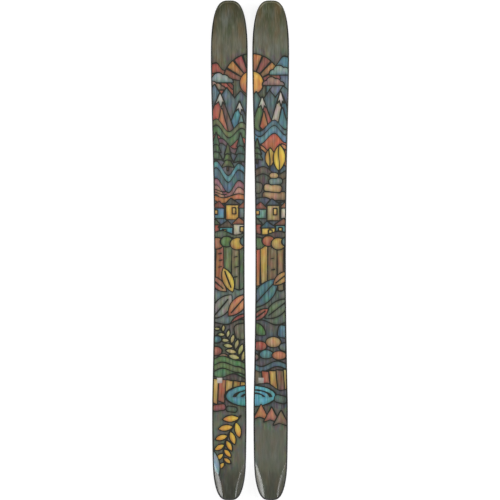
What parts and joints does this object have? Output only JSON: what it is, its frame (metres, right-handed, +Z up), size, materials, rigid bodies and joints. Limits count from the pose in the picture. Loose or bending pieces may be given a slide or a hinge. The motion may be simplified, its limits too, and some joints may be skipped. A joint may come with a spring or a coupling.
{
  "type": "pair of alpine skis",
  "caption": "Wide twin-rocker freeride skis without bindings, lying flat side by side on their bases.",
  "frame": {"origin": "on the floor under the skis, midway between them and midway along their length", "axes": "+Y along the skis towards the tips, +Z up out of the topsheets, +X across from the left ski to the right ski"},
  "size_m": [0.2822, 1.795, 0.0664],
  "materials": {
    "sintered_base": "waxed, fine lengthwise stone-ground structure",
    "edge_steel": "ground and polished",
    "foil_rubber": "thin, matt",
    "glass_laminate": "glass fibre set in epoxy resin",
    "sidewall_abs": "machined, fine lengthwise marks",
    "poplar": "planed strips glued side by side",
    "ash": "planed strips glued side by side",
    "spacer_abs": "moulded",
    "plate_alloy": "rolled sheet, sanded for gluing",
    "carbon": "unidirectional fibre set in resin",
    "printed_topsheet": "satin, printed from below in muted olive, teal and ochre"
  },
  "bodies": {
    "root": {"left_ski_base": "sintered_base", "left_ski_outer_edge": "edge_steel", "left_ski_inner_edge": "edge_steel", "left_ski_edge_foils": "foil_rubber", "left_ski_lower_laminate": "glass_laminate", "left_ski_outer_sidewall": "sidewall_abs", "left_ski_inner_sidewall": "sidewall_abs", "left_ski_poplar_strips": "poplar", "left_ski_ash_strips": "ash", "left_ski_tip_spacer": "spacer_abs", "left_ski_tail_spacer": "spacer_abs", "left_ski_binding_plate": "plate_alloy", "left_ski_carbon_strip": "carbon", "left_ski_upper_laminate": "glass_laminate", "left_ski_topsheet": "printed_topsheet", "right_ski_base": "sintered_base", "right_ski_outer_edge": "edge_steel", "right_ski_inner_edge": "edge_steel", "right_ski_edge_foils": "foil_rubber", "right_ski_lower_laminate": "glass_laminate", "right_ski_outer_sidewall": "sidewall_abs", "right_ski_inner_sidewall": "sidewall_abs", "right_ski_poplar_strips": "poplar", "right_ski_ash_strips": "ash", "right_ski_tip_spacer": "spacer_abs", "right_ski_tail_spacer": "spacer_abs", "right_ski_binding_plate": "plate_alloy", "right_ski_carbon_strip": "carbon", "right_ski_upper_laminate": "glass_laminate", "right_ski_topsheet": "printed_topsheet"}
  },
  "joints": []
}
